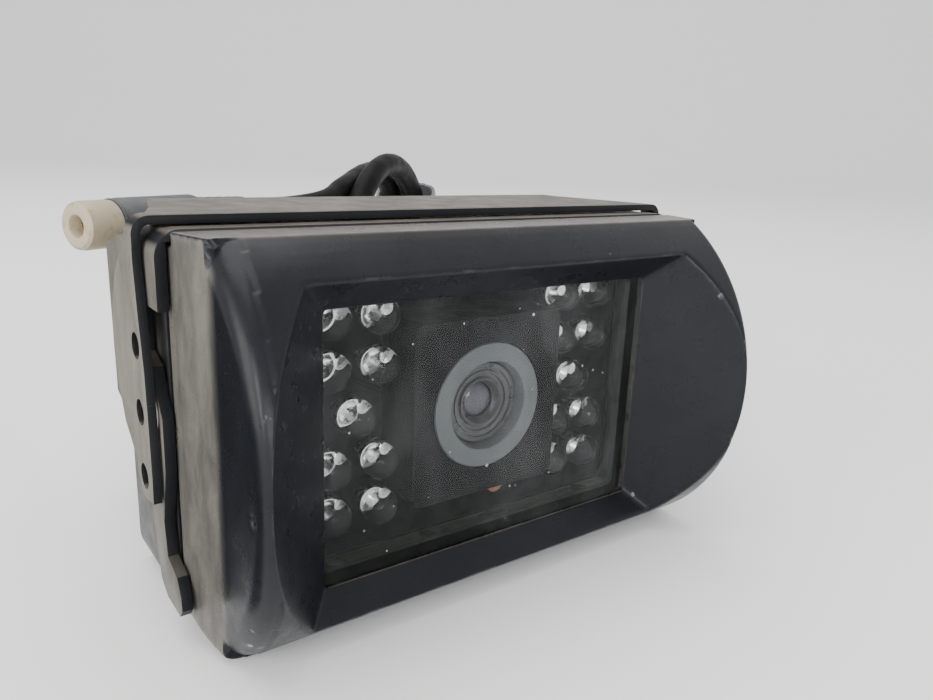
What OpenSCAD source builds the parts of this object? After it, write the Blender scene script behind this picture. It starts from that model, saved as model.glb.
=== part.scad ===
// Truck backup camera: a die-cast head with a deep window recess, lens block and infrared LEDs,
// a thick hood over it, a thin tilting U bracket, and a short cable with its connector.
// Millimetres, +Z up, lens looking along -Y. The origin is the middle of the head's footprint.

/* [Head] */
// Width of the bezel's nose
nose_w = 78; // [77:0.5:79]
// Height of the bezel
bezel_h = 50; // [49.5:0.1:50]
// Radius of the bezel's curved front, about a side-to-side axis
nose_r = 29.5; // [29:0.5:32]
// Depth of the head behind the front's top edge
head_d = 56; // [56:0.5:58]
// Width of the rear part of the housing
rear_w = 64; // [62:1:64]
// Height of the rear part of the housing
rear_h = 42; // [40:1:42]

/* [Window] */
// Width of the visible glass
window_w = 52.6; // [50:0.2:53]
// Height of the visible glass
window_h = 34.3; // [32:0.1:35]
// Thickness of the glass
glass_t = 2.5; // [2:0.1:3]

/* [Lens] */
// Side of the black lens mask
mask_w = 25; // [24:0.5:25.5]
// Outer diameter of the grey lens ring
ring_od = 18.2; // [17:0.2:19]
// Diameter of the ring's opening
ring_id = 12.4; // [12:0.2:13]

/* [LEDs] */
// Diameter of one infrared LED's dome
led_d = 5; // [4:0.1:5]
// Distance between the LED rows
led_pitch = 6.6; // [6.2:0.1:6.6]

/* [Bracket] */
// Thickness of the bracket's sheet
sheet_t = 1; // [0.9:0.1:1.2]
// Radius of the bracket's round ears
ear_r = 15.1; // [14.5:0.1:15.5]
// Diameter of the three holes in each ear
hole_d = 3.2; // [3:0.1:3.2]
// Distance between the holes
hole_pitch = 8.1; // [7.9:0.1:8.3]

/* [Cable] */
// Diameter of the cable
cable_d = 5; // [4.5:0.1:5]
// Diameter of the coil at the middle of the cable
coil_d = 52; // [52:0.5:54]

/* [Hidden] */
$fn = 64;
sag = nose_r - sqrt(nose_r * nose_r - bezel_h * bezel_h / 4); // how far the nose bulges forward
rim_y = (sag - head_d) / 2;  // Y of the front's top edge, which every depth below is counted from
window_z = 24.15;            // height of the window's centre
lens_z = 25;                 // height of the lens axis
bezel_d = 9.3;               // depth of the bezel's straight part
seal_t = 0.8;
shell_t = 2.5;
flare = 1.5;                 // how much the bezel widens towards its rear, each side
bottom_r = 4;                // the rounded lower edges of the bezel and the housing
rebate = [6.9, 48.4];        // depth and height of the ledge that the hood's lip lies in
mid_w = nose_w + 2 * flare;  // width of the housing under the hood
mid_end = 30.5;              // where the housing narrows
mid_top = [46.6, 43.2];      // height of the housing's top at the seal and where it narrows
glass_y = -0.8;              // front face of the glass
glass_edge = 2;              // how far the glass reaches behind the recess wall
recess_slope = 0.94;         // how much the recess widens for each millimetre forward
led_board_y = 11.4;
board_t = 1.6;
main_board_y = 26;
hood_x = mid_w / 2 + 0.3;    // X of the hood's inside wall
arm_x = hood_x + 1.3;        // X of the hood's outside wall
hood_top = 50.1;
plate_y = [11.2, 33];        // front and rear edges of the bracket's plate
plate_top = 51.3;
ear_x = arm_x + 0.3;         // X of the ears' inside face
pivot = [12.7, 28.3];        // depth and height of the tilt axis, the ears' middle hole
bush_r = 2.6;                // the bushes that the hood hangs on
screw_x = 35;                // the four long case screws
screw_z = [5.5, 38.5];
pin_d = hole_d - 0.1;        // pivot shank, a running fit in the ear
gland = [21.5, 10];          // X and height of the cable's exit
wire_r = 0.5;
led_z = 25.6;                // height of the middle LED row
led_x = [15.6, 22.5];        // the two columns, and the middle row's LED stands between them
element_r = 2.6;             // lens elements and the barrel's bore
coil_centre = [29.5, 60.5];  // X and Y of the coil, which stands on its edge
coil_turn = 42;              // angle of the coil's plane from the X axis
coil_width = cable_d * 2.64; // the turns lie side by side
boot_end = [-11.5, 41.8, 46];// where the cable enters the connector's boot
boot_turn = 205;             // direction that the connector points, from the X axis
boot_l = 28;
tip_l = 6;
// The cable's route from the gland to the coil, and from the coil to the connector
lead_route = [[21.5, 36.9, 10], [21.5, 41, 9.8], [22, 45, 8.6], [23.8, 49, 6.8], [26.4, 52.2, 4.9],
    [29.3, 55, 3.3], [32.2, 57.5, 2.5]];
tail_route = [[17.2, 54.7, 51], [14.5, 52.5, 49.2], [11.5, 50.6, 47.8], [8, 48.9, 46.9],
    [4, 47.5, 46.4], [0, 46.2, 46.1], [-5.5, 44.4, 46], [-11.5, 41.8, 46]];

// Places children at a depth behind the front's top edge, and turns +Z to point backwards
module at_depth(x, y, z) {
    translate([x, rim_y + y, z]) rotate([-90, 0, 0]) children();
}

// A box from one corner to the other, with Y counted from the front's top edge
module block(low, high) {
    translate([low[0], rim_y + low[1], low[2]]) cube(high - low);
}

// A side profile, points of [depth, height], as wide as w
module side_slab(w, points) {
    translate([-w / 2, rim_y, 0]) rotate([90, 0, 90]) linear_extrude(w) polygon(points);
}

// A rounded rectangle about the origin
module round_rect(w, h, r) {
    square([w - 2 * r, h], center = true);
    square([w, h - 2 * r], center = true);
    for (x = [-1, 1], y = [-1, 1])
        translate([x * (w / 2 - r), y * (h / 2 - r)]) circle(r);
}

// A rounded rectangular slab standing across the view, from depth y0 to y1
module panel(w, h, r, z, y0, y1) {
    at_depth(0, y0, z) linear_extrude(y1 - y0) round_rect(w, h, r);
}

// A prism along Y that rounds whatever it is intersected with at its two lower edges
module rounded_below(w, y0, y1) {
    panel(w, bezel_h + 20, bottom_r, bezel_h / 2 + 10, y0, y1);
}

// A round bar along X
module cross_bar(y, z, r, x0, x1) {
    translate([x0, rim_y + y, z]) rotate([0, 90, 0]) cylinder(r = r, h = x1 - x0);
}

module nose_drum() {
    translate([-nose_w / 2, rim_y + nose_r - sag, bezel_h / 2])
        rotate([0, 90, 0]) rotate_extrude($fn = 160) polygon([[0, 0], [nose_r - 1, 0], [nose_r, 1],
            [nose_r, nose_w - 1], [nose_r - 1, nose_w], [0, nose_w]]);
}

// The window's recess, a straight-sided funnel that opens forward
module recess() {
    depth = sag + 1;
    grow = depth * recess_slope;
    at = rim_y + glass_y;
    w = window_w / 2;
    h = window_h / 2;
    translate([0, at, window_z]) rotate([90, 0, 0]) intersection() {
        rotate([90, 0, 0]) translate([0, 0, -window_w]) linear_extrude(2 * window_w)
            polygon([[-w, -0.01], [w, -0.01], [w + grow, depth], [-w - grow, depth]]);
        rotate([90, 0, 90]) translate([0, 0, -window_w]) linear_extrude(2 * window_w)
            polygon([[-h, -0.01], [h, -0.01], [h + grow, depth], [-h - grow, depth]]);
    }
}

module front_bezel() {
    color([0.10, 0.11, 0.13]) difference() {
        intersection() {
            union() {
                intersection() {
                    nose_drum();
                    block([-nose_w, -sag - 1, 0], [nose_w, 0.5, bezel_h]);
                }
                translate([0, rim_y, 0]) linear_extrude(bezel_h)
                    polygon([[-nose_w / 2, 0], [nose_w / 2, 0], [nose_w / 2 + flare, 6],
                        [nose_w / 2 + flare, bezel_d], [-nose_w / 2 - flare, bezel_d],
                        [-nose_w / 2 - flare, 6]]);
            }
            rounded_below(nose_w + 2 * flare, -sag - 1, bezel_d);
        }
        recess();
        block([-nose_w, rebate[0], rebate[1]], [nose_w, bezel_d + 1, bezel_h + 1]);
        panel(window_w + 2 * glass_edge, window_h + 2 * glass_edge, 2, window_z, glass_y, bezel_d + 1);
        panel(64, 40, 3, window_z, glass_y + glass_t + 1, bezel_d + 1);
        for (x = [-1, 1], z = screw_z)
            at_depth(x * screw_x, 4, z) cylinder(d = 2.6, h = bezel_d);
        translate([-nose_w / 2 - 1, rim_y - 10.4, 23]) rotate([0, 90, 0]) cylinder(d = 1.2, h = 3);
    }
}

module rear_housing() {
    start = bezel_d + seal_t;
    color([0.09, 0.10, 0.11]) difference() {
        union() {
            intersection() {
                side_slab(mid_w, [[start, 0], [mid_end, 0], [mid_end, mid_top[1]], [start, mid_top[0]]]);
                rounded_below(mid_w, start, mid_end);
            }
            block([-rear_w / 2, start, 0], [rear_w / 2, head_d, rear_h]);
        }
        difference() {
            union() {
                side_slab(mid_w - 2 * shell_t, [[start + 3, shell_t], [mid_end - shell_t, shell_t],
                    [mid_end - shell_t, mid_top[1] - shell_t], [start + 3, mid_top[0] - shell_t]]);
                block([-32, start - 1, 4], [32, start + 4, 43]);
                block([-rear_w / 2 + shell_t, start, shell_t],
                    [rear_w / 2 - shell_t, head_d - shell_t, rear_h - shell_t]);
            }
            for (x = [-1, 1], z = screw_z)
                at_depth(x * screw_x, start, z) cylinder(r = 2.9, h = mid_end - start);
            for (side = [0, 1]) mirror([side, 0, 0]) cross_bar(pivot[0], pivot[1], 4, 33.5, mid_w / 2);
        }
        for (x = [-1, 1], z = screw_z)
            at_depth(x * screw_x, start - 1, z) cylinder(r = 1.6, h = mid_end - start + 2);
        for (side = [0, 1]) mirror([side, 0, 0]) cross_bar(pivot[0], pivot[1], 1.5, 35, mid_w / 2 + 1);
        at_depth(gland[0], head_d - shell_t - 1, gland[1]) cylinder(r = 4, h = shell_t + 2);
    }
}

module hood() {
    color([0.13, 0.14, 0.15]) difference() {
        intersection() {
            panel(2 * arm_x, hood_top + 10, 3, hood_top / 2 - 5, 2, 32);
            side_slab(2 * arm_x, [[7.4, 41.2], [7.4, hood_top - 0.6], [8, hood_top], [10.6, hood_top],
                [10.6, 49.9], [15, 49.9], [18.4, 49.2], [30, 46.1], [30, 26], [16.4, 20.5], [15.4, 14], [14.6, 9.4], [13.4, 5.6],
                [11, 4.2], [6, 4.2], [5, 5.4], [5.2, 7.2], [6.4, 9.2], [9.8, 10.4], [10.4, 14.8],
                [8.4, 22], [8.3, 28.5], [10.4, 31.5], [11.2, 34], [14.4, 35.2], [14.4, 41.2]]);
        }
        side_slab(2 * hood_x, [[0, -1], [0, 48.8], [bezel_d, 48.8], [bezel_d, 47.4], [31, 44.2],
            [31, -1]]);
        cross_bar(pivot[0], pivot[1], bush_r, -arm_x - 1, arm_x + 1);
        cross_bar(pivot[0], pivot[1] - hole_pitch, hole_d / 2 + 0.3, -arm_x - 1, arm_x + 1);
    }
}

module housing_seal() {
    color([0.05, 0.05, 0.05]) difference() {
        panel(74, 44, 3, 23.4, bezel_d, bezel_d + seal_t);
        panel(65, 39.5, 2, 23.6, bezel_d - 1, bezel_d + 2);
        for (x = [-1, 1], z = screw_z)
            at_depth(x * screw_x, bezel_d - 1, z) cylinder(r = 1.7, h = 3);
    }
}

module housing_screws() {
    for (x = [-1, 1], z = screw_z)
        at_depth(x * screw_x, 0, z) color([0.6, 0.6, 0.62]) difference() {
            union() {
                translate([0, 0, 5.3]) cylinder(d = 2.6, h = 6);
                translate([0, 0, 10]) cylinder(d = 2.9, h = mid_end - 10 + 0.01);
                translate([0, 0, mid_end]) cylinder(d = 5.2, h = 2);
            }
            translate([0, 0, mid_end + 0.8]) cylinder(d = 2.4, h = 2, $fn = 6);
        }
}

module window_glass() {
    color([0.75, 0.85, 0.85, 0.3])
        panel(window_w + 2 * glass_edge - 0.4, window_h + 2 * glass_edge - 0.4, 1.8, window_z,
            glass_y, glass_y + glass_t);
}

module window_gasket() {
    color([0.06, 0.06, 0.06]) difference() {
        panel(window_w + 2 * glass_edge - 0.4, window_h + 2 * glass_edge - 0.4, 1.8, window_z,
            glass_y + glass_t, glass_y + glass_t + 1);
        panel(window_w, window_h, 1, window_z, glass_y, bezel_d);
    }
}

module lens_mask() {
    front = glass_y + glass_t + 0.2;
    color([0.08, 0.08, 0.09]) difference() {
        panel(mask_w, mask_w + 0.7, 1.6, lens_z, front, 11);
        at_depth(0, front - 1, lens_z) cylinder(d = ring_od + 0.1, h = 4.2);
        panel(mask_w - 3, mask_w - 2.3, 1, lens_z, front + 3, 12);
    }
}

module lens_ring() {
    front = glass_y + glass_t + 0.2;
    color([0.35, 0.36, 0.37]) at_depth(0, front, lens_z) rotate_extrude()
        polygon([[ring_id / 2, 0.3], [ring_id / 2 + 0.4, 0], [ring_od / 2 - 0.3, 0],
            [ring_od / 2, 0.3], [ring_od / 2, 3], [ring_id / 2 - 0.1, 3]]);
}

module lens_barrel() {
    front = glass_y + glass_t + 1.4;
    color([0.16, 0.16, 0.17]) at_depth(0, front, lens_z) rotate_extrude()
        polygon([[3.5, 0], [5.9, 0], [5.9, 13], [element_r, 13], [element_r, 2.4], [3.45, 1.2]]);
}

module lens_front_element() {
    front = glass_y + glass_t + 2.2;
    color([0.35, 0.38, 0.45]) intersection() {
        at_depth(0, front, lens_z) translate([0, 0, 5]) sphere(r = 5);
        at_depth(0, front - 0.2, lens_z) cylinder(r = element_r - 0.02, h = 2.4);
    }
}

module lens_rear_element() {
    color([0.5, 0.55, 0.6]) at_depth(0, 11, lens_z) cylinder(r = element_r - 0.02, h = 2);
}

module lens_holder() {
    color([0.1, 0.1, 0.1]) difference() {
        panel(15, 15, 1, lens_z, 12, 19);
        at_depth(0, 11, lens_z) cylinder(r = 6, h = 6);
        at_depth(0, 11, lens_z) cylinder(r = 4.5, h = 9);
    }
}

module ir_filter() {
    color([0.5, 0.3, 0.4]) panel(8.4, 8.4, 0.5, lens_z, 16.4, 16.9);
}

module image_sensor() {
    color([0.2, 0.2, 0.3]) panel(6, 5, 0.4, lens_z, 18.2, 19);
}

module sensor_board() {
    color([0.1, 0.3, 0.15]) panel(24, 24, 1, lens_z, 19, 19 + board_t);
}

// Centres of the LEDs, staggered in two columns on each side of the lens
led_rows = [-2, -1, 1, 2];
led_places = concat(
    [for (side = [-1, 1], x = led_x, row = led_rows) [side * x, led_z + row * led_pitch]],
    [for (side = [-1, 1]) [side * (led_x[0] + led_x[1]) / 2, led_z]]);

module led_board() {
    color([0.12, 0.16, 0.14]) difference() {
        panel(58, 37, 2, window_z, led_board_y, led_board_y + board_t);
        panel(mask_w + 0.4, mask_w + 1.2, 1, lens_z, led_board_y - 1, led_board_y + 3);
        for (p = led_places, x = [-1.27, 1.27])
            at_depth(p[0] + x, led_board_y - 1, p[1]) cylinder(r = 0.4, h = 4);
    }
}

module ir_leds() {
    back = led_board_y;
    for (p = led_places)
        color([0.85, 0.87, 0.88, 0.5]) at_depth(p[0], back, p[1]) rotate([180, 0, 0]) union() {
            cylinder(d = led_d + 0.8, h = 1);
            cylinder(d = led_d, h = 6.2);
            translate([0, 0, 6.2]) sphere(d = led_d);
            for (x = [-1.27, 1.27]) translate([x, 0, -3]) cylinder(r = 0.3, h = 3.2);
        }
}

module light_sensor() {
    color([0.75, 0.4, 0.25]) at_depth(8, led_board_y, 8.6) rotate([180, 0, 0])
        cylinder(d = 3.4, h = 2);
}

module main_board() {
    color([0.1, 0.3, 0.15]) difference() {
        panel(58, 34, 1, 22, main_board_y, main_board_y + board_t);
        for (x = [-26, 26], z = [8, 36]) at_depth(x, main_board_y - 1, z) cylinder(r = 1.3, h = 4);
    }
}

module board_spacers() {
    for (x = [-26, 26], z = [8, 36])
        color([0.8, 0.7, 0.35]) at_depth(x, led_board_y + board_t, z) difference() {
            cylinder(r = 2.4, h = main_board_y - led_board_y - board_t, $fn = 6);
            translate([0, 0, 4]) cylinder(r = 1.1, h = 30);
        }
}

module board_screws() {
    for (x = [-26, 26], z = [8, 36])
        color([0.7, 0.7, 0.72]) at_depth(x, main_board_y - 5, z) union() {
            cylinder(r = 1.1, h = 5.2 + board_t);
            translate([0, 0, 5 + board_t]) cylinder(r = 2, h = 1.4);
        }
}

module board_connector() {
    color([0.9, 0.9, 0.85]) block([15, main_board_y + board_t, 7], [23.8, main_board_y + 7, 13]);
}

module inner_wires() {
    for (i = [-1.5 : 1 : 1.5])
        color([0.7, 0.2, 0.15]) at_depth(gland[0] + i * 2.2 * wire_r, main_board_y + 7, gland[1])
            cylinder(r = wire_r, h = head_d - main_board_y - 7);
}

module pivot_screws() {
    for (side = [0, 1])
        color([0.2, 0.2, 0.2]) mirror([side, 0, 0]) difference() {
            union() {
                cross_bar(pivot[0], pivot[1], 1.5, 35.5, mid_w / 2 + 0.2);
                cross_bar(pivot[0], pivot[1], pin_d / 2, mid_w / 2 + 0.1, ear_x + sheet_t - 0.3);
            }
            translate([ear_x - 0.5, rim_y + pivot[0], pivot[1]]) rotate([0, 90, 0])
                cylinder(d = 1.8, h = 3, $fn = 6);
        }
}

module pivot_bushes() {
    for (side = [0, 1])
        color([0.85, 0.85, 0.8]) mirror([side, 0, 0]) difference() {
            cross_bar(pivot[0], pivot[1], bush_r - 0.02, mid_w / 2 + 0.1, ear_x - 0.1);
            cross_bar(pivot[0], pivot[1], pin_d / 2 + 0.05, mid_w / 2, ear_x + 1);
        }
}

// The ear seen from its side, in depth and height
module ear_outline() {
    low_z = pivot[1] - hole_pitch;
    difference() {
        union() {
            intersection() {
                translate([8.6, 34]) circle(ear_r, $fn = 128);
                polygon([[9.4, 28], [9.6, 34], [10.6, 40], [11.4, 46.6], [11.4, 60], [40, 60], [40, 28]]);
            }
            polygon([[11.4, 46], [plate_y[0], plate_top - 2], [14.4, plate_top - 2], [15.4, 46]]);
            polygon([[9.4, 30], [22.9, 29.4], [20.5, 24.8], [15.6, 21.2], [15.4, 19.4], [9.2, low_z]]);
            translate([pivot[0], low_z]) circle(2.9);
            polygon([[9.2, low_z + 1], [12, low_z], [12, low_z - 2.8], [9.4, low_z - 2.4]]);
        }
        for (i = [-1, 0, 1]) translate([pivot[0], pivot[1] + i * hole_pitch]) circle(d = hole_d);
    }
}

module u_bracket() {
    w = 2 * (ear_x + sheet_t);
    bend_r = 1.1;
    neck = 3.2;
    color([0.14, 0.15, 0.16]) union() {
        intersection() {
            at_depth(0, plate_y[0], plate_top - 10) rotate([180, 0, 0]) mirror([0, 0, 1])
                linear_extrude(plate_y[1] - plate_y[0]) difference() {
                    round_rect(w, 20, bend_r + sheet_t);
                    round_rect(2 * ear_x, 20 - 2 * sheet_t, bend_r);
                    translate([-w, -12]) square([2 * w, 18.5]);
                }
            translate([0, rim_y + plate_y[0], 0]) linear_extrude(60)
                polygon([[-w, -1], [w, -1], [w, neck], [ear_x - 1.4, neck], [36, 18], [35, 40], [-35, 40],
                    [-36, 18], [1.4 - ear_x, neck], [-w, neck]]);
        }
        for (side = [0, 1]) mirror([side, 0, 0])
            translate([ear_x, rim_y, 0]) rotate([90, 0, 90]) linear_extrude(sheet_t)
                intersection() {
                    ear_outline();
                    square([60, plate_top - 3]);
                }
    }
}

module cable_gland() {
    color([0.12, 0.12, 0.13]) at_depth(gland[0], head_d - shell_t - 2, gland[1]) difference() {
        union() {
            cylinder(r = 3.9, h = shell_t + 3);
            translate([0, 0, shell_t + 2]) cylinder(d = 13, h = 2, $fn = 6);
            translate([0, 0, -1]) cylinder(r = 6, h = 3);
        }
        translate([0, 0, -2]) cylinder(d = cable_d, h = 12);
    }
}

module strain_relief() {
    color([0.05, 0.05, 0.05]) at_depth(gland[0], head_d + 2, gland[1]) difference() {
        cylinder(r1 = 4.8, r2 = 3.1, h = 5);
        translate([0, 0, -1]) cylinder(d = cable_d, h = 12);
    }
}

// Unit vectors for sweeping a tube along a route
function along(route, i) = let (a = route[max(i - 1, 0)], b = route[min(i + 1, len(route) - 1)])
    (b - a) / norm(b - a);
function side_of(v) = let (s = cross(v, [0, 0, 1])) s / norm(s);
function ring_point(route, i, k, n) = let (v = along(route, i), s = side_of(v), u = cross(s, v))
    route[i] + cable_d / 2 * (cos(360 * k / n) * s + sin(360 * k / n) * u);

module tube(route) {
    n = 10;
    last = len(route) - 1;
    polyhedron(
        points = [for (i = [0 : last], k = [0 : n - 1]) ring_point(route, i, k, n)],
        faces = concat([[for (k = [0 : n - 1]) k]],
            [for (i = [0 : last - 1], k = [0 : n - 1])
                [i * n + k, (i + 1) * n + k, (i + 1) * n + (k + 1) % n, i * n + (k + 1) % n]],
            [[for (k = [0 : n - 1]) last * n + n - 1 - k]]));
}

module cable_lead() {
    color([0.05, 0.05, 0.05]) tube(lead_route);
}

module cable_tail() {
    color([0.05, 0.05, 0.05]) tube(tail_route);
}

module in_coil() {
    translate([coil_centre[0], coil_centre[1], coil_d / 2 + cable_d / 2])
        rotate([90, 0, coil_turn]) children();
}

module cable_coil() {
    r = coil_d / 2;
    color([0.05, 0.05, 0.05]) in_coil() rotate_extrude($fn = 96)
        translate([r, 0]) square([cable_d, coil_width], center = true);
}

module coil_tie() {
    r = coil_d / 2;
    color([0.25, 0.25, 0.26]) in_coil() rotate([0, 0, 38]) translate([r, 0, 0]) difference() {
        rotate([90, 0, 0]) translate([0, 0, -3]) linear_extrude(6)
            square([cable_d + 2.6, coil_width + 2.6], center = true);
        rotate([90, 0, 0]) translate([0, 0, -4]) linear_extrude(8)
            square([cable_d + 0.8, coil_width + 0.4], center = true);
    }
}

module at_boot() {
    translate(boot_end) rotate([0, 90, boot_turn]) children();
}

module connector_boot() {
    color([0.16, 0.17, 0.18]) at_boot() rotate_extrude()
        polygon([[0, 0], [3, 0], [3.3, 8], [3.9, 12], [3.9, boot_l], [0, boot_l]]);
}

module connector_insert() {
    color([0.68, 0.64, 0.56]) at_boot() translate([0, 0, boot_l]) rotate_extrude()
        polygon([[0, 0], [3.7, 0], [3.7, tip_l - 0.6], [3.1, tip_l], [1.5, tip_l], [1.5, 1.5], [0, 1.5]]);
}

module connector_pins() {
    color([0.8, 0.7, 0.35]) at_boot() for (i = [0 : 3])
        rotate([0, 0, 90 * i]) translate([0.8, 0, boot_l + 1.5]) cylinder(r = 0.3, h = 3);
}

front_bezel();
rear_housing();
hood();
housing_seal();
housing_screws();
window_glass();
window_gasket();
lens_mask();
lens_ring();
lens_barrel();
lens_front_element();
lens_rear_element();
lens_holder();
ir_filter();
image_sensor();
sensor_board();
led_board();
ir_leds();
light_sensor();
main_board();
board_spacers();
board_screws();
board_connector();
inner_wires();
pivot_screws();
pivot_bushes();
u_bracket();
cable_gland();
strain_relief();
cable_lead();
cable_coil();
cable_tail();
coil_tie();
connector_boot();
connector_insert();
connector_pins();
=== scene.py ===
import math

import bmesh
import bpy
from mathutils import Matrix, Vector


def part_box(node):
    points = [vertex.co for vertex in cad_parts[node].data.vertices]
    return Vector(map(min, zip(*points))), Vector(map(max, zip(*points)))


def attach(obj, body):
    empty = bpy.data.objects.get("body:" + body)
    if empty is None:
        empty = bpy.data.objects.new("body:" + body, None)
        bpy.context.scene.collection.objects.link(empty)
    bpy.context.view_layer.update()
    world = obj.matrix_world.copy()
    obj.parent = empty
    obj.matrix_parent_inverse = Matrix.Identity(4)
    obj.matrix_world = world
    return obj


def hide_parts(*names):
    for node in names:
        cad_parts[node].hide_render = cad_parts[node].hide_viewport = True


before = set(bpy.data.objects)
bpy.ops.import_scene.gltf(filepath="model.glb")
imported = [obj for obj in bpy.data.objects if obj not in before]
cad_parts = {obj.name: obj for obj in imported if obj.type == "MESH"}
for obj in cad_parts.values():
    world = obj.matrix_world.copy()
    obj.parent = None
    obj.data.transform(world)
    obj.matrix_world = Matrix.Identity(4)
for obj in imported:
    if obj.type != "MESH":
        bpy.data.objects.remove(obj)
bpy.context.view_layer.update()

MM = 0.001
CAMERA_BODY = "camera"
BRACKET_BODY = "bracket"

# Places that come from the frame
glass_low, glass_high = (Vector(corner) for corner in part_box("window_glass"))
bezel_low, bezel_high = (Vector(corner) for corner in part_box("front_bezel"))
ring_low, ring_high = (Vector(corner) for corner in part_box("lens_ring"))
coil_low, coil_high = (Vector(corner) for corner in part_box("cable_coil"))
board_low, board_high = (Vector(corner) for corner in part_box("led_board"))
RIM_Y = glass_low.y + 0.8 * MM
LENS = Vector((0, ring_low.y, (ring_low.z + ring_high.z) / 2))

# The cable, as the CAD source has it
CABLE_D = 5 * MM
COIL_R = 25.97 * MM
COIL_TURN = math.radians(42)
COIL_CENTRE = Vector((29.5, 60.5, 28.5)) * MM
COIL_PITCH = 5.1 * MM
COIL_TURNS = 1.0 + 150 / 360
LEAD_ROUTE = [(21.5, 36.9, 10), (21.5, 41, 9.8), (22, 45, 8.6), (23.8, 49, 6.8), (26.4, 52.2, 4.9),
              (29.3, 55, 3.3)]
TAIL_ROUTE = [(14.5, 52.5, 49.2), (11.5, 50.6, 47.8), (8, 48.9, 46.9), (4, 47.5, 46.4),
              (0, 46.2, 46.1), (-5.5, 44.4, 46), (-11.5, 41.8, 46)]
BOOT_END = Vector((-11.5, 41.8, 46)) * MM
BOOT_TURN = math.radians(205)
BOOT_L = 28 * MM
TIP_L = 6 * MM


def make_camera():
    """The view from the front left, a little above the object."""
    turn, pitch, roll = (math.radians(a) for a in (-36.87, 74.83, 2.4))
    data = bpy.data.cameras.new("view")
    data.lens = 29.9
    data.clip_start = 0.005
    cam = bpy.data.objects.new("view", data)
    bpy.context.collection.objects.link(cam)
    aim = Matrix.Rotation(turn, 4, "Z") @ Matrix.Rotation(pitch, 4, "X") @ Matrix.Rotation(roll, 4, "Z")
    cam.matrix_world = Matrix.Translation((-0.0643, -0.0995, 0.0607)) @ aim
    bpy.context.scene.camera = cam


# ---------------------------------------------------------------- meshes


def add_object(name, data, body=CAMERA_BODY):
    obj = bpy.data.objects.new(name, data)
    bpy.context.collection.objects.link(obj)
    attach(obj, body)
    return obj


def from_bmesh(name, bm, body=CAMERA_BODY, smooth=True):
    bmesh.ops.recalc_face_normals(bm, faces=bm.faces)
    data = bpy.data.meshes.new(name)
    bm.to_mesh(data)
    bm.free()
    if smooth:
        data.polygons.foreach_set("use_smooth", [True] * len(data.polygons))
    return add_object(name, data, body)


def shade_by_angle(obj, degrees=35):
    obj.data.polygons.foreach_set("use_smooth", [True] * len(obj.data.polygons))
    bm = bmesh.new()
    bm.from_mesh(obj.data)
    limit = math.radians(degrees)
    for edge in bm.edges:
        if len(edge.link_faces) == 2 and edge.calc_face_angle(0) > limit:
            edge.smooth = False
    bm.to_mesh(obj.data)
    bm.free()


def copy_of(node, name, body=CAMERA_BODY):
    """A closed copy of a CAD node's mesh, with its flat faces joined up."""
    bm = bmesh.new()
    bm.from_mesh(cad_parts[node].data)
    bmesh.ops.remove_doubles(bm, verts=bm.verts, dist=1e-6)
    bmesh.ops.dissolve_limit(bm, angle_limit=math.radians(0.5), verts=bm.verts, edges=bm.edges)
    obj = from_bmesh(name, bm, body, smooth=False)
    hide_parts(node)
    return obj


def apply_modifiers(obj):
    graph = bpy.context.evaluated_depsgraph_get()
    data = bpy.data.meshes.new_from_object(obj.evaluated_get(graph))
    obj.modifiers.clear()
    obj.data = data


def rounded_copy(node, name, width, body=CAMERA_BODY, segments=3):
    """A copy of a CAD node whose sharp edges are rounded over."""
    obj = copy_of(node, name, body)
    mod = obj.modifiers.new("round", "BEVEL")
    mod.width = width
    mod.segments = segments
    mod.limit_method = "ANGLE"
    mod.angle_limit = math.radians(32)
    mod.use_clamp_overlap = True
    mod.miter_outer = "MITER_ARC"
    apply_modifiers(obj)
    shade_by_angle(obj, 40)
    return obj


def cast_copy(node, name, voxel, rounds, body=CAMERA_BODY):
    """A copy of a CAD node with the soft edges of a painted casting."""
    obj = copy_of(node, name, body)
    mod = obj.modifiers.new("remesh", "REMESH")
    mod.mode = "VOXEL"
    mod.voxel_size = voxel
    soft = obj.modifiers.new("soften", "SMOOTH")
    soft.factor = 0.5
    soft.iterations = rounds
    apply_modifiers(obj)
    obj.data.polygons.foreach_set("use_smooth", [True] * len(obj.data.polygons))
    return obj


def lathe(name, outline, place, steps=64, body=CAMERA_BODY):
    """A turned piece: outline is [radius, along] points, turned about the +Z of place."""
    bm = bmesh.new()
    rings = []
    for radius, along in outline:
        if radius < 1e-7:
            rings.append([bm.verts.new(place @ Vector((0, 0, along)))])
            continue
        rings.append([bm.verts.new(place @ Vector((radius * math.cos(a), radius * math.sin(a), along)))
                      for a in (2 * math.pi * k / steps for k in range(steps))])
    for one, two in zip(rings, rings[1:]):
        for k in range(steps):
            n = (k + 1) % steps
            if len(one) == 1 and len(two) > 1:
                bm.faces.new((one[0], two[k], two[n]))
            elif len(two) == 1 and len(one) > 1:
                bm.faces.new((one[k], two[0], one[n]))
            elif len(one) > 1:
                bm.faces.new((one[k], two[k], two[n], one[n]))
    obj = from_bmesh(name, bm, body)
    shade_by_angle(obj, 30)
    return obj


def forward_from(x, y, z):
    """A frame at a point whose +Z looks forward, out of the window."""
    return Matrix.Translation((x, y, z)) @ Matrix.Rotation(math.radians(90), 4, "X")


def join(name, objs):
    """One object out of several, so that what repeats is one piece."""
    bm = bmesh.new()
    for obj in objs:
        bm.from_mesh(obj.data)
    data = bpy.data.meshes.new(name)
    bm.to_mesh(data)
    bm.free()
    for obj in objs:
        bpy.data.objects.remove(obj)
    data.polygons.foreach_set("use_smooth", [True] * len(data.polygons))
    piece = add_object(name, data)
    shade_by_angle(piece, 30)
    return piece


# ---------------------------------------------------------------- materials


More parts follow.
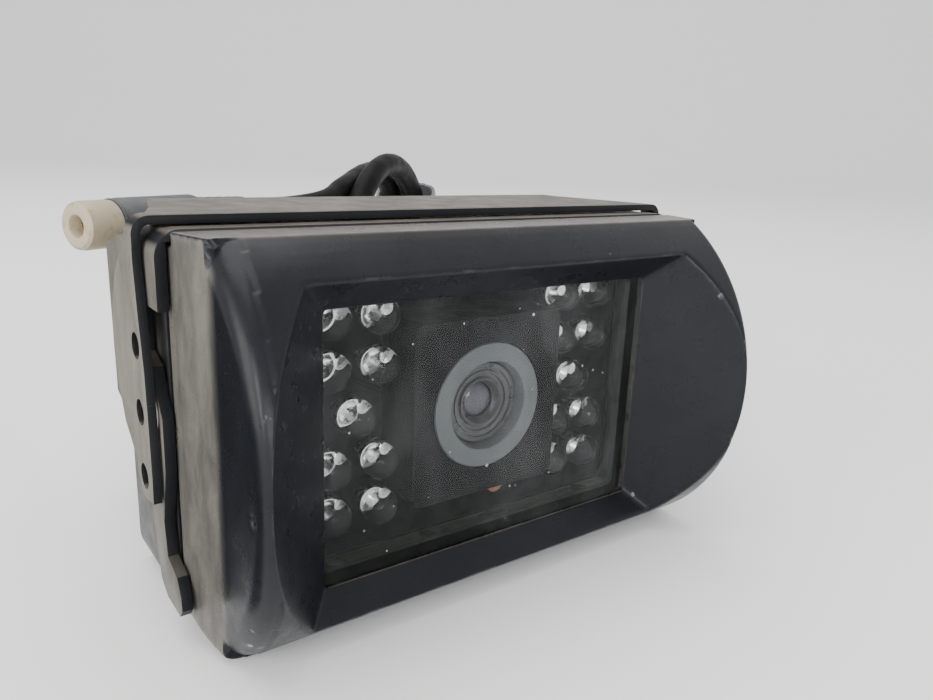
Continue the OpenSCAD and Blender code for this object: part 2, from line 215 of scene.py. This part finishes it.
class Paint:
    """A small builder for one node material."""

    def __init__(self, name, color, rough, **sockets):
        self.mat = bpy.data.materials.new(name)
        self.mat.use_nodes = True
        self.tree = self.mat.node_tree
        self.shader = self.tree.nodes["Principled BSDF"]
        self.shader.inputs["Base Color"].default_value = (*color, 1)
        self.shader.inputs["Roughness"].default_value = rough
        for key, value in sockets.items():
            self.shader.inputs[key.replace("_", " ")].default_value = value
        self.coords = self.tree.nodes.new("ShaderNodeTexCoord").outputs["Object"]

    def node(self, kind, **settings):
        made = self.tree.nodes.new(kind)
        for key, value in settings.items():
            setattr(made, key, value)
        return made

    def link(self, a, b):
        self.tree.links.new(a, b)

    def noise(self, size, detail=4, rough=0.6, stretch=(1, 1, 1)):
        """Noise whose features are about size metres across, from 0 to 1."""
        place = self.node("ShaderNodeMapping")
        place.inputs["Scale"].default_value = stretch
        self.link(self.coords, place.inputs["Vector"])
        tex = self.node("ShaderNodeTexNoise")
        tex.inputs["Scale"].default_value = 1 / size
        tex.inputs["Detail"].default_value = detail
        tex.inputs["Roughness"].default_value = rough
        self.link(place.outputs["Vector"], tex.inputs["Vector"])
        return tex.outputs["Fac"]

    def curve(self, value, low, high, out_low=0.0, out_high=1.0):
        node = self.node("ShaderNodeMapRange", interpolation_type="SMOOTHSTEP")
        node.inputs["From Min"].default_value = low
        node.inputs["From Max"].default_value = high
        node.inputs["To Min"].default_value = out_low
        node.inputs["To Max"].default_value = out_high
        self.link(value, node.inputs["Value"])
        return node.outputs["Result"]

    def maths(self, kind, a, b):
        node = self.node("ShaderNodeMath", operation=kind)
        for socket, value in zip(node.inputs, (a, b)):
            if isinstance(value, (int, float)):
                socket.default_value = value
            else:
                self.link(value, socket)
        return node.outputs[0]

    def mix(self, factor, a, b):
        node = self.node("ShaderNodeMix", data_type="RGBA")
        self.link(factor, node.inputs[0])
        for socket, value in ((node.inputs[6], a), (node.inputs[7], b)):
            if isinstance(value, tuple):
                socket.default_value = (*value, 1)
            else:
                self.link(value, socket)
        return node.outputs[2]

    def upward(self):
        """1 where a surface faces up."""
        split = self.node("ShaderNodeSeparateXYZ")
        self.link(self.node("ShaderNodeNewGeometry").outputs["Normal"], split.inputs[0])
        return self.curve(split.outputs["Z"], 0.8, 0.99)

    def sideways(self, behind):
        """1 on side walls further back than behind."""
        facing = self.node("ShaderNodeSeparateXYZ")
        self.link(self.node("ShaderNodeNewGeometry").outputs["Normal"], facing.inputs[0])
        place = self.node("ShaderNodeSeparateXYZ")
        self.link(self.coords, place.inputs[0])
        side = self.curve(self.maths("ABSOLUTE", facing.outputs["X"], 0), 0.8, 0.97)
        return self.maths("MULTIPLY", side, self.curve(place.outputs["Y"], behind, behind + 0.003))

    def edges(self, low=0.525, high=0.59):
        """1 along outside edges of a dense mesh."""
        return self.curve(self.node("ShaderNodeNewGeometry").outputs["Pointiness"], low, high)

    def specks(self, size, amount, radius=0.16):
        """1 on scattered round specks; amount is the share of cells that hold one."""
        tex = self.node("ShaderNodeTexVoronoi")
        tex.inputs["Scale"].default_value = 1 / size
        self.link(self.coords, tex.inputs["Vector"])
        dot = self.curve(tex.outputs["Distance"], radius, radius * 0.6)
        split = self.node("ShaderNodeSeparateColor")
        self.link(tex.outputs["Color"], split.inputs[0])
        return self.maths("MULTIPLY", dot, self.curve(split.outputs[0], 1 - amount, 1 - amount + 0.02))

    def bump(self, height, depth):
        node = self.node("ShaderNodeBump")
        node.inputs["Distance"].default_value = depth
        node.inputs["Strength"].default_value = 1
        self.link(height, node.inputs["Height"])
        self.link(node.outputs["Normal"], self.shader.inputs["Normal"])

    def use(self, socket, value):
        self.link(value, self.shader.inputs[socket])


def painted_metal(name, color, rough=0.34, dust=0.35, wear=None, shine=0.22, side_sheen_from=None,
                  mix_share=(0.55, 1.0)):
    """Semi-gloss black paint with a cast skin, dust on top, fine scuffs, rubbed edges and lighter side
    walls.

    wear is the colour of rubbed edges, which only a dense mesh can show. side_sheen_from is the Y that
    the side walls are lightened behind, part road dust and part painted reflection of the bright
    surroundings, and mix_share the weakest and strongest share of that light tone."""
    p = Paint(name, color, rough, Specular_IOR_Level=shine)
    tint = tuple(c * 1.35 + 0.001 for c in color)
    base = p.mix(p.curve(p.noise(0.012, 5), 0.35, 0.7), color, tint)
    scuff = p.curve(p.noise(0.0012, 3, 0.7, stretch=(1, 0.1, 0.1)), 0.68, 0.78, 0, 0.06)
    base = p.mix(scuff, base, (0.09, 0.095, 0.1))
    powder = p.maths("MULTIPLY", p.curve(p.noise(0.006, 6, 0.7), 0.35, 0.75, 0.6, 1), dust)
    dusty = p.maths("MULTIPLY", p.upward(), powder)
    base = p.mix(dusty, base, (0.12, 0.103, 0.085))
    # Side walls further back are mixed toward a light warm tone: part road dust, part a painted
    # reflection of the bright surroundings seen at a grazing angle.
    if side_sheen_from is not None:
        side_dust_and_sheen = p.curve(p.noise(0.005, 5, 0.65, stretch=(1, 1, 0.3)), 0.2, 0.8, *mix_share)
        base = p.mix(p.maths("MULTIPLY", p.sideways(side_sheen_from), side_dust_and_sheen), base, (0.2, 0.185, 0.16))
    if wear is not None:
        rubbed = p.maths("MULTIPLY", p.edges(), p.curve(p.noise(0.003, 4), 0.5, 0.66))
        base = p.mix(rubbed, base, wear)
    grit = p.specks(0.003, 0.02, 0.05)
    base = p.mix(p.maths("MULTIPLY", grit, 0.5), base, (0.36, 0.35, 0.32))
    p.use("Base Color", base)
    p.use("Roughness", p.curve(p.noise(0.004, 5, 0.65), 0.3, 0.75, rough - 0.05, rough + 0.08))
    skin = p.maths("ADD", p.noise(0.0008, 3), p.maths("MULTIPLY", p.noise(0.006, 2), 1.2))
    p.bump(skin, 0.000012)
    return p.mat


def moulded(name, color, rough=0.5, grain=0.0004, depth=0.00003, dirt=(0.2, 0.19, 0.17), amount=0.25,
            **sockets):
    """Moulded plastic or rubber: a fine grain, slight colour change and a little dirt."""
    p = Paint(name, color, rough, **sockets)
    lighter = tuple(min(1, c * 1.35 + 0.003) for c in color)
    base = p.mix(p.noise(0.004, 4), color, lighter)
    mix_share = p.maths("MULTIPLY", p.curve(p.noise(0.002, 6, 0.7), 0.5, 0.75), amount)
    base = p.mix(mix_share, base, dirt)
    p.use("Base Color", base)
    p.use("Roughness", p.curve(p.noise(0.003, 3), 0.3, 0.7, rough - 0.06, rough + 0.1))
    p.bump(p.noise(grain, 2), depth)
    return p.mat


def bare_metal(name, color, rough=0.3):
    """Plated or turned metal with fine marks."""
    p = Paint(name, color, rough, Metallic=1.0)
    base = p.mix(p.noise(0.001, 4), tuple(c * 0.75 for c in color), color)
    p.use("Base Color", base)
    p.use("Roughness", p.curve(p.noise(0.0006, 3), 0.3, 0.7, rough - 0.08, rough + 0.15))
    p.bump(p.noise(0.0003, 2), 0.00001)
    return p.mat


def circuit_board(name, color):
    """Solder mask with faint tracks, drawn by square cells."""
    p = Paint(name, color, 0.35)
    tex = p.node("ShaderNodeTexVoronoi", distance="CHEBYCHEV", feature="F1")
    tex.inputs["Scale"].default_value = 1 / 0.0022
    p.link(p.coords, tex.inputs["Vector"])
    track = p.curve(tex.outputs["Distance"], 0.42, 0.5)
    base = p.mix(track, color, tuple(c * 1.8 + 0.01 for c in color))
    base = p.mix(p.curve(p.noise(0.003, 4), 0.5, 0.8, 0, 0.4), base, (0.12, 0.12, 0.11))
    p.use("Base Color", base)
    p.use("Roughness", p.curve(p.noise(0.002, 3), 0.3, 0.7, 0.28, 0.5))
    p.bump(track, 0.00004)
    return p.mat


def clear_glass(name, tint, rough=0.02, haze=0.06, specks=0.1, ior=1.5):
    """Glass with a thin film of dust, smears and small white specks."""
    p = Paint(name, tint, rough, IOR=ior)
    smear = p.curve(p.noise(0.009, 5, 0.6, stretch=(1, 1, 0.45)), 0.45, 0.75, 0.35 * haze, 1.6 * haze)
    fine = p.maths("MULTIPLY", p.specks(0.0011, specks), 0.5)
    large = p.maths("MULTIPLY", p.specks(0.0035, specks * 0.7, 0.09), 0.8)
    dust = p.maths("MAXIMUM", smear, p.maths("MAXIMUM", fine, large))
    p.use("Base Color", p.mix(dust, tint, (0.55, 0.56, 0.56)))
    p.use("Transmission Weight", p.maths("SUBTRACT", 1, dust))
    p.use("Roughness", p.curve(p.noise(0.004, 4), 0.4, 0.8, rough, rough + 0.03))
    return p.mat


def woven_tape(name, color):
    """Hook-and-loop tape: a fuzzy close weave."""
    p = Paint(name, color, 0.9)
    p.shader.inputs["Sheen Weight"].default_value = 0.4
    thread = 0.0005
    weave = p.maths("MULTIPLY", p.noise(thread, 2, stretch=(1, 4, 1)),
                    p.noise(thread, 2, stretch=(4, 1, 4)))
    p.use("Base Color", p.mix(p.curve(weave, 0.1, 0.4), color, tuple(c * 2.2 + 0.02 for c in color)))
    p.use("Roughness", p.curve(p.noise(0.0008, 3), 0.3, 0.7, 0.8, 0.95))
    p.bump(weave, 0.0002)
    return p.mat


def set_material(obj, material):
    obj.data.materials.clear()
    obj.data.materials.append(material)


def set_cad_material(node, material):
    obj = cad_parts[node]
    if not obj.material_slots:
        obj.data.materials.append(material)
    for entry in obj.material_slots:
        entry.link = "OBJECT"
        entry.material = material


# ---------------------------------------------------------------- the cable


def coil_points():
    """The coil's turns, from its lowest point on the near side to where the tail leaves."""
    across = Vector((math.cos(COIL_TURN), math.sin(COIL_TURN), 0))
    axis = Vector((-math.sin(COIL_TURN), math.cos(COIL_TURN), 0))
    count = round(COIL_TURNS * 28)
    points = []
    for k in range(count + 1):
        turn = COIL_TURNS * k / count
        a = 2 * math.pi * turn
        shift = (turn - COIL_TURNS / 2) * COIL_PITCH * 1.14
        points.append(COIL_CENTRE + across * COIL_R * math.sin(a) - Vector((0, 0, COIL_R * math.cos(a)))
                      + axis * shift)
    return points


def make_cable(material):
    points = [Vector(p) * MM for p in LEAD_ROUTE] + coil_points() + [Vector(p) * MM for p in TAIL_ROUTE]
    data = bpy.data.curves.new("cable", "CURVE")
    data.dimensions = "3D"
    data.bevel_depth = CABLE_D / 2
    data.bevel_resolution = 8
    data.resolution_u = 6
    data.use_fill_caps = True
    line = data.splines.new("BEZIER")
    line.bezier_points.add(len(points) - 1)
    for point, place in zip(line.bezier_points, points):
        point.co = place
        point.handle_left_type = "AUTO"
        point.handle_right_type = "AUTO"
    cable = bpy.data.objects.new("cable_jacket", data)
    bpy.context.collection.objects.link(cable)
    data.materials.append(material)
    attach(cable, CAMERA_BODY)
    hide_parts("cable_lead", "cable_coil", "cable_tail")
    length = sum((b - a).length for a, b in zip(points, points[1:]))
    return cable, length


def boot_place(along=0.0):
    turn = Matrix.Rotation(BOOT_TURN, 4, "Z") @ Matrix.Rotation(math.radians(90), 4, "Y")
    return Matrix.Translation(BOOT_END) @ turn @ Matrix.Translation((0, 0, along))


def make_connector():
    """The connector's ribbed boot and its cream insert with a socket hole; the pins inside stay as the
    CAD node.
    """
    outline = [(2.55, 0.0), (3.0, 0.2), (3.05, 1.6)]
    for k in range(4):
        at = 2.0 + 2.2 * k
        outline += [(2.75, at), (2.75, at + 0.5), (3.1 + 0.06 * k, at + 0.8), (3.1 + 0.06 * k, at + 1.9)]
    outline += [(3.4, 10.9), (3.85, 12.4), (3.88, 26.6), (3.6, 27.1), (3.6, 27.5), (3.85, 27.8),
                (3.8, 28.0), (2.5, 28.0)]
    boot = lathe("connector_boot_body", [(r * MM, a * MM) for r, a in outline], boot_place())
    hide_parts("connector_boot")
    outline = [(3.3, 0.0), (3.62, 0.15), (3.69, 0.6), (3.69, 4.9), (3.55, 5.6), (3.12, 5.97), (2.3, 5.99),
               (1.75, 5.85), (1.5, 5.4), (1.5, 1.5), (0, 1.5)]
    tip = lathe("connector_tip", [(r * MM, a * MM) for r, a in outline], boot_place(BOOT_L))
    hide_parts("connector_insert")
    return boot, tip


def make_coil_tie():
    """A hook-and-loop tie round the turns, with its loose end lifted."""
    angle = math.radians(38)
    across = Vector((math.cos(COIL_TURN), math.sin(COIL_TURN), 0))
    axis = Vector((-math.sin(COIL_TURN), math.cos(COIL_TURN), 0))
    out = across * math.cos(angle) + Vector((0, 0, math.sin(angle)))
    along = Vector((0, 0, math.cos(angle))) - across * math.sin(angle)
    centre = COIL_CENTRE + out * COIL_R
    half_out = CABLE_D / 2 + 0.5 * MM
    half_axis = 6.9 * MM
    corner = 2.2 * MM
    loop = []
    for cx, cy, start in ((1, 1, 0), (-1, 1, 90), (-1, -1, 180), (1, -1, 270)):
        for k in range(7):
            a = math.radians(start + 15 * k)
            loop.append((cx * (half_out - corner) + corner * math.cos(a),
                         cy * (half_axis - corner) + corner * math.sin(a)))
    loop += [(half_out + 0.5 * MM, -half_axis * 0.55 + k * 2.1 * MM) for k in range(5)]
    loop = loop[3:]
    bm = bmesh.new()
    wide = 3 * MM
    rows = []
    for u, v in loop:
        at = centre + out * u + axis * v
        rows.append([bm.verts.new(at + along * wide * s) for s in (-1, -0.5, 0, 0.5, 1)])
    for one, two in zip(rows, rows[1:]):
        for k in range(4):
            bm.faces.new((one[k], one[k + 1], two[k + 1], two[k]))
    tie = from_bmesh("coil_tie_tape", bm)
    thick = tie.modifiers.new("thick", "SOLIDIFY")
    thick.thickness = 0.7 * MM
    thick.offset = 1
    apply_modifiers(tie)
    shade_by_angle(tie, 40)
    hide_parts("coil_tie")
    return tie


# ---------------------------------------------------------------- the head


def make_bezel():
    """The cast bezel, with the ends of its curved nose rounded over."""
    bezel = cast_copy("front_bezel", "bezel_casting", 0.34 * MM, 5)
    half_w = bezel_high.x - 1.5 * MM
    nose_r = 29.5 * MM
    mid_z = (bezel_low.z + bezel_high.z) / 2
    axis_y = bezel_low.y + nose_r
    for v in bezel.data.vertices:
        if v.co.y > RIM_Y:
            continue
        high = min(1.0, abs(v.co.z - mid_z) / (25 * MM))
        radius = ((2.2 + 1.4 * high ** 2) if v.co.x < 0 else 1.4) * MM
        arm = Vector((0, v.co.y - axis_y, v.co.z - mid_z))
        dx = abs(v.co.x) - (half_w - radius)
        dr = arm.length - (nose_r - radius)
        reach = math.hypot(dx, dr)
        if dx > 0 and dr > 0 and reach > radius:
            arm *= (nose_r - radius + dr * radius / reach) / arm.length
            v.co = Vector((math.copysign(half_w - radius + dx * radius / reach, v.co.x),
                           axis_y + arm.y, mid_z + arm.z))
    return bezel


def make_leds():
    """Clear domes with the cup and post that show inside them."""
    domes, cups, posts = [], [], []
    front = board_low.y
    pitch = 6.6 * MM
    columns = (15.6 * MM, 22.5 * MM)
    places = [(side * x, row) for side in (-1, 1) for x in columns for row in (-2, -1, 1, 2)]
    places += [(side * sum(columns) / 2, 0) for side in (-1, 1)]
    for x, row in places:
        place = forward_from(x, front, 25.6 * MM + row * pitch)
        dome = [(0.0, 0.0), (2.9, 0.0), (2.9, 0.9), (2.75, 1.0), (2.5, 1.05), (2.5, 6.2)]
        dome += [(2.5 * math.cos(math.radians(a)), 6.2 + 2.5 * math.sin(math.radians(a)))
                 for a in range(10, 90, 10)] + [(0.0, 8.7)]
        domes.append(lathe("dome", [(r * MM, a * MM) for r, a in dome], place, 32))
        cup = [(0.5, 0.6), (0.5, 3.2), (1.25, 3.5), (1.3, 4.3), (1.1, 4.35), (0.55, 3.7), (0.0, 3.7)]
        cups.append(lathe("cup", [(r * MM, a * MM) for r, a in cup], place, 20))
        side = place @ Matrix.Translation((1.55 * MM, 0, 0))
        post = [(0.0, 0.6), (0.3, 0.6), (0.3, 3.8), (0.55, 4.0), (0.5, 4.4), (0.0, 4.4)]
        posts.append(lathe("post", [(r * MM, a * MM) for r, a in post], side, 12))
    dome_piece = join("led_domes", domes)
    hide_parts("ir_leds")
    metal = join("led_cups", cups + posts)
    return dome_piece, metal


def make_lens():
    """The ring, the stepped barrel inside it and the domed front element."""
    place = forward_from(LENS.x, LENS.y, LENS.z)
    ring = [(6.1, -3.0), (9.08, -3.0), (9.1, -0.35), (8.95, -0.08), (8.6, 0.0), (6.75, 0.0),
            (6.45, -0.1), (6.25, -0.45), (6.15, -1.2), (6.1, -3.0)]
    ring_piece = lathe("lens_ring_turned", [(r * MM, a * MM) for r, a in ring], place, 96)
    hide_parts("lens_ring")
    barrel = [(5.88, -14.0), (5.88, -1.75), (5.75, -1.6), (5.2, -1.6), (5.1, -1.9), (4.75, -1.9),
              (4.65, -1.7), (4.25, -1.75), (4.15, -2.05), (3.7, -2.1), (3.62, -1.75), (3.45, -1.65),
              (3.2, -1.75), (3.0, -2.3), (2.65, -2.7), (2.62, -14.0)]
    barrel_piece = lathe("lens_barrel_turned", [(r * MM, a * MM) for r, a in barrel], place, 96)
    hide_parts("lens_barrel")
    bulge = [(2.58 * math.cos(math.radians(a)), -3.2 + 0.95 * math.sin(math.radians(a)))
             for a in range(0, 90, 10)] + [(0.0, -2.25)]
    element = [(0.0, -4.4), (2.58, -4.4)] + bulge
    element_piece = lathe("lens_element_domed", [(r * MM, a * MM) for r, a in element], place, 64)
    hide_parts("lens_front_element")
    return ring_piece, barrel_piece, element_piece


def make_strain_relief():
    low, high = (Vector(corner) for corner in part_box("strain_relief"))
    place = Matrix.Translation(((low.x + high.x) / 2, low.y, (low.z + high.z) / 2))
    place = place @ Matrix.Rotation(math.radians(-90), 4, "X")
    outline = [(2.5, 0.0), (4.75, 0.0), (4.6, 0.8), (4.1, 0.9), (4.1, 1.3), (4.3, 1.4), (4.15, 2.2),
               (3.7, 2.3), (3.7, 2.7), (3.9, 2.8), (3.75, 3.5), (3.35, 3.6), (3.35, 4.0), (3.45, 4.1),
               (3.1, 4.9), (2.5, 5.0)]
    relief = lathe("relief_ribbed", [(r * MM, a * MM) for r, a in outline], place)
    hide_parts("strain_relief")
    return relief


# ---------------------------------------------------------------- the stage


def make_stage():
    """A pale seamless sweep that runs up behind the object, a white sky and soft lamps."""
    ahead = Vector((0.6, 0.8, 0))
    aside = Vector((0.8, -0.6, 0))
    curve = [(-4, 0), (1.2, 0)] + [(1.2 + math.sin(math.radians(a)), 1 - math.cos(math.radians(a)))
                                  for a in range(10, 91, 10)] + [(2.2, 5)]
    bm = bmesh.new()
    rows = [[bm.verts.new(ahead * s + aside * w + Vector((0, 0, z - 0.0004))) for w in (-6, 6)]
            for s, z in curve]
    for one, two in zip(rows, rows[1:]):
        bm.faces.new((one[0], one[1], two[1], two[0]))
    data = bpy.data.meshes.new("floor")
    bm.to_mesh(data)
    bm.free()
    data.polygons.foreach_set("use_smooth", [True] * len(data.polygons))
    floor = bpy.data.objects.new("floor", data)
    bpy.context.collection.objects.link(floor)
    p = Paint("floor_pale", (0.9, 0.9, 0.9), 0.7)
    p.use("Base Color", p.mix(p.noise(0.3, 3), (0.89, 0.89, 0.885), (0.92, 0.92, 0.92)))
    floor.data.materials.append(p.mat)

    world = bpy.data.worlds.new("studio")
    world.use_nodes = True
    world.node_tree.nodes["Background"].inputs["Color"].default_value = (1.0, 1.0, 1.0, 1)
    world.node_tree.nodes["Background"].inputs["Strength"].default_value = 1.15
    bpy.context.scene.world = world

    def area(name, place, target, size, power, color=(1, 1, 1)):
        data = bpy.data.lights.new(name, "AREA")
        data.shape = "RECTANGLE"
        data.size, data.size_y = size
        data.energy = power
        data.color = color
        lamp = bpy.data.objects.new(name, data)
        bpy.context.collection.objects.link(lamp)
        lamp.location = place
        lamp.rotation_euler = (Vector(target) - Vector(place)).to_track_quat("-Z", "Y").to_euler()

    middle = (0, 0, 0.025)
    area("overhead", (-0.1, 0.15, 0.9), middle, (0.9, 0.7), 6)
    area("left_window", (-0.9, -0.05, 0.3), middle, (0.5, 0.6), 5, (1.0, 0.99, 0.97))
    area("front_low", (-0.35, -0.85, 0.22), middle, (0.6, 0.3), 3.5)
    area("left_strip", (-0.72, -0.46, 0.3), middle, (0.1, 0.4), 2.5)


def make_dark_card():
    """A black card at the left, lying and standing, that only reflections see."""
    left, right, near, far, top = -0.42, -0.047, -0.03, 0.62, 0.3
    lying = ((left, near, 0), (right, near, 0), (right, far, 0), (left, far, 0))
    standing = ((left, far, 0), (right, far, 0), (right, far, top), (left, far, top))
    bm = bmesh.new()
    for corners in (lying, standing):
        bm.faces.new([bm.verts.new(corner) for corner in corners])
    data = bpy.data.meshes.new("dark_card")
    bm.to_mesh(data)
    bm.free()
    card = bpy.data.objects.new("dark_card", data)
    bpy.context.collection.objects.link(card)
    card.visible_camera = False
    card.visible_diffuse = False
    card.visible_shadow = False
    felt = Paint("card_felt", (0.01, 0.01, 0.01), 0.9)
    felt.use("Base Color", felt.mix(felt.noise(0.01, 3), (0.008, 0.008, 0.008), (0.014, 0.014, 0.014)))
    card.data.materials.append(felt.mat)


# ---------------------------------------------------------------- build

make_camera()

cable_black = moulded("cable_pvc", (0.003, 0.003, 0.0032), 0.42, amount=0.02, Specular_IOR_Level=0.07)
cable, cable_length = make_cable(cable_black)
boot, tip = make_connector()
tie = make_coil_tie()
relief = make_strain_relief()
set_material(boot, moulded("boot_rubber", (0.05, 0.052, 0.056), 0.5))
set_material(tip, moulded("tip_cream", (0.33, 0.275, 0.19), 0.45, dirt=(0.1, 0.085, 0.06), amount=0.6))
set_material(tie, woven_tape("tie_tape", (0.07, 0.07, 0.075)))
set_material(relief, cable_black)

# Each paint below lightens its side walls behind a given Y: part road dust, part painted reflection.
bezel = make_bezel()
bezel_paint = painted_metal("bezel_paint", (0.0045, 0.0055, 0.0075), 0.3, dust=0.9,
                            wear=(0.16, 0.17, 0.19), side_sheen_from=RIM_Y - 2.5 * MM, mix_share=(0.15, 0.7))
set_material(bezel, bezel_paint)
hood = rounded_copy("hood", "hood_pressing", 0.3 * MM)
hood_paint = painted_metal("hood_paint", (0.007, 0.0075, 0.009), 0.4, dust=1.0, shine=0.12, side_sheen_from=RIM_Y,
                           mix_share=(0.3, 0.8))
set_material(hood, hood_paint)
housing = rounded_copy("rear_housing", "housing_casting", 1.2 * MM)
housing_paint = painted_metal("housing_paint", (0.006, 0.007, 0.009), 0.36, dust=0.7, side_sheen_from=RIM_Y,
                              mix_share=(0.02, 0.25))
set_material(housing, housing_paint)
bracket = rounded_copy("u_bracket", "bracket_sheet", 0.3 * MM, BRACKET_BODY, 2)
bracket_paint = painted_metal("bracket_paint", (0.01, 0.0105, 0.012), 0.42, dust=1.0, shine=0.1,
                              side_sheen_from=RIM_Y)
set_material(bracket, bracket_paint)
mask = rounded_copy("lens_mask", "mask_shroud", 0.35 * MM)
mask_black = moulded("mask_plastic", (0.004, 0.004, 0.0045), 0.6, amount=0.04, Specular_IOR_Level=0.1)
set_material(mask, mask_black)

domes, cups = make_leds()
set_material(domes, clear_glass("led_epoxy", (0.88, 0.89, 0.88), 0.02, 0.02, 0.03, 1.25))
set_material(cups, bare_metal("led_metal", (0.85, 0.85, 0.83), 0.22))
ring, barrel, element = make_lens()
set_material(ring, moulded("ring_plastic", (0.07, 0.073, 0.076), 0.4, amount=0.1))
set_material(barrel, moulded("barrel_anodised", (0.03, 0.03, 0.032), 0.3, amount=0.1))
coated = Paint("coated_glass", (0.04, 0.045, 0.055), 0.03, IOR=1.5, Coat_Weight=0.2, Coat_Roughness=0.02)
coated.use("Base Color", coated.mix(coated.noise(0.004, 2), (0.03, 0.035, 0.045), (0.06, 0.045, 0.07)))
coated.use("Roughness", coated.curve(coated.noise(0.002, 3), 0.4, 0.7, 0.02, 0.06))
set_material(element, coated.mat)

seal_black = moulded("seal_rubber", (0.015, 0.015, 0.016), 0.7)
board_dark = circuit_board("board_mask", (0.042, 0.046, 0.046))
plated = bare_metal("zinc_plate", (0.55, 0.55, 0.57), 0.35)
oxide = bare_metal("black_oxide", (0.06, 0.06, 0.065), 0.4)
brass = bare_metal("brass_turned", (0.72, 0.55, 0.26), 0.28)
nylon = moulded("nylon_natural", (0.72, 0.70, 0.64), 0.5)
inner_black = moulded("holder_plastic", (0.02, 0.02, 0.021), 0.5)
cad_looks = {
    "window_glass": clear_glass("window_clear", (0.93, 0.96, 0.96), 0.0, 0.018, 0.05, 1.12),
    "window_gasket": seal_black,
    "housing_seal": seal_black,
    "led_board": board_dark,
    "sensor_board": board_dark,
    "main_board": board_dark,
    "lens_holder": inner_black,
    "lens_rear_element": coated.mat,
    "ir_filter": coated.mat,
    "image_sensor": moulded("sensor_cover", (0.05, 0.04, 0.07), 0.2),
    "light_sensor": moulded("photocell", (0.35, 0.16, 0.09), 0.35),
    "board_spacers": brass,
    "connector_pins": brass,
    "board_screws": plated,
    "housing_screws": plated,
    "pivot_screws": oxide,
    "pivot_bushes": nylon,
    "board_connector": nylon,
    "cable_gland": oxide,
    "inner_wires": moulded("wire_pvc", (0.35, 0.05, 0.04), 0.45),
}
for cad_node, look in cad_looks.items():
    set_cad_material(cad_node, look)

make_stage()
make_dark_card()
